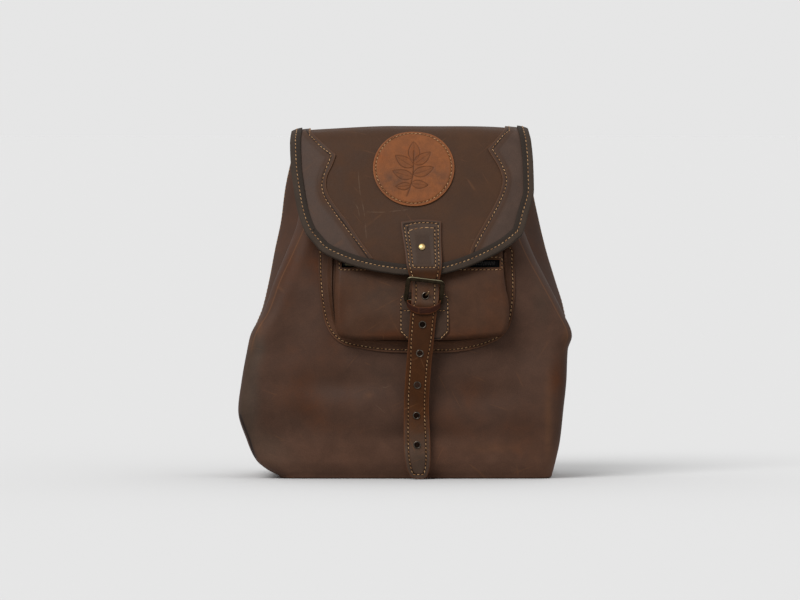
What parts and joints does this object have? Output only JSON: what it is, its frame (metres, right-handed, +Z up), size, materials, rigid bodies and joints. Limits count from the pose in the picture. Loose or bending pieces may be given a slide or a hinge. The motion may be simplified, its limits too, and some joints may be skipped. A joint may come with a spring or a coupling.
{
  "type": "leather rucksack",
  "caption": "Waxed brown leather rucksack with a bound flap, a holed strap and buckle, a zipped bellows pocket and plain carrying straps.",
  "frame": {"origin": "underside of the base, in the middle of the bag's depth and about the middle of its width", "axes": "+X to the right seen from the front, -Y towards the front, +Z up"},
  "size_m": [0.3658, 0.2854, 0.3867],
  "materials": {
    "leather": "waxed pull-up leather, matt with soft sheen, mottled brown",
    "patch_leather": "smooth tan leather, embossed",
    "strap_leather": "waxed dark brown strap leather with worn edges",
    "keeper_leather": "burnished russet leather",
    "tape": "folded dark brown binding tape",
    "zip": "black zip tape and coil",
    "buckle_metal": "dark antique brass, worn bright on its edges",
    "rivet_brass": "polished brass"
  },
  "bodies": {
    "root": {"body_shell": "leather", "back_panel": "leather", "base_panel": "leather", "flap": "leather", "flap_wing_left": "leather", "flap_wing_right": "leather", "flap_binding": "tape", "round_patch": "patch_leather", "pocket_front": "leather", "pocket_gusset": "leather", "zip_tape": "zip", "zip_chain": "zip", "zip_slider": "buckle_metal", "closure_strap": "strap_leather", "strap_rivet": "rivet_brass", "eyelet_1": "buckle_metal", "eyelet_2": "buckle_metal", "eyelet_3": "buckle_metal", "eyelet_4": "buckle_metal", "eyelet_5": "buckle_metal", "eyelet_6": "buckle_metal", "buckle_frame": "buckle_metal", "buckle_prong": "buckle_metal", "buckle_chape": "strap_leather", "strap_keeper": "keeper_leather", "strap_anchor": "leather", "shoulder_strap_left": "strap_leather", "shoulder_strap_right": "strap_leather", "strap_tab_left": "leather", "strap_tab_right": "leather"}
  },
  "joints": []
}
